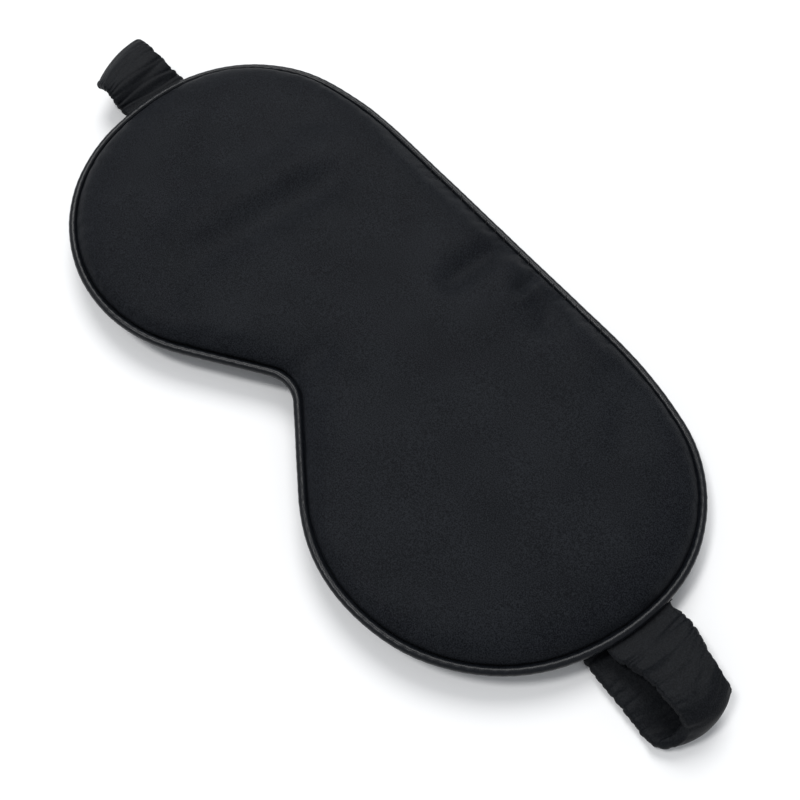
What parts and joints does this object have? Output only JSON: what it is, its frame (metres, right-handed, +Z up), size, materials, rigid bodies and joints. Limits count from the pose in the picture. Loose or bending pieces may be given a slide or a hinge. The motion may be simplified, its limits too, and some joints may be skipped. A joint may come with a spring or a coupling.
{
  "type": "sleep eye mask",
  "caption": "Padded satin sleep mask with corded piping and a nose notch, lying face up on its own gathered elastic strap.",
  "frame": {"origin": "on the resting surface, under the middle of the mask", "axes": "+Z up, out of the mask's front face; +X along the mask; +Y towards the forehead edge"},
  "size_m": [0.2587, 0.102, 0.0147],
  "materials": {
    "face_satin": "black satin, soft sheen",
    "back_satin": "black satin, soft sheen",
    "piping_satin": "black satin bias strip",
    "sleeve_satin": "black satin, finely gathered",
    "lining": "dull black blackout cloth",
    "wadding": "off-white polyester wadding",
    "cord": "off-white cotton filler cord",
    "thread": "black polyester thread",
    "elastic": "black woven elastic"
  },
  "bodies": {
    "strap": {"strap_sleeve": "sleeve_satin", "strap_elastic": "elastic", "sleeve_seam_thread": "thread"},
    "mask": {"front_panel": "face_satin", "blackout_lining": "lining", "padding_core": "wadding", "back_panel": "back_satin", "piping_cord": "cord", "piping_cover": "piping_satin", "needle_thread": "thread", "bobbin_thread": "thread", "closing_thread": "thread", "strap_tab_right": "elastic", "strap_tab_left": "elastic"}
  },
  "joints": [
    {"name": "elastic_pull", "type": "slide", "parent": "strap", "child": "mask", "axis": [0, 0, 1], "range_m": [0, 0.07], "stiffness_N_per_m": 40, "deforming": ["strap_sleeve", "strap_elastic", "sleeve_seam_thread"]}
  ]
}
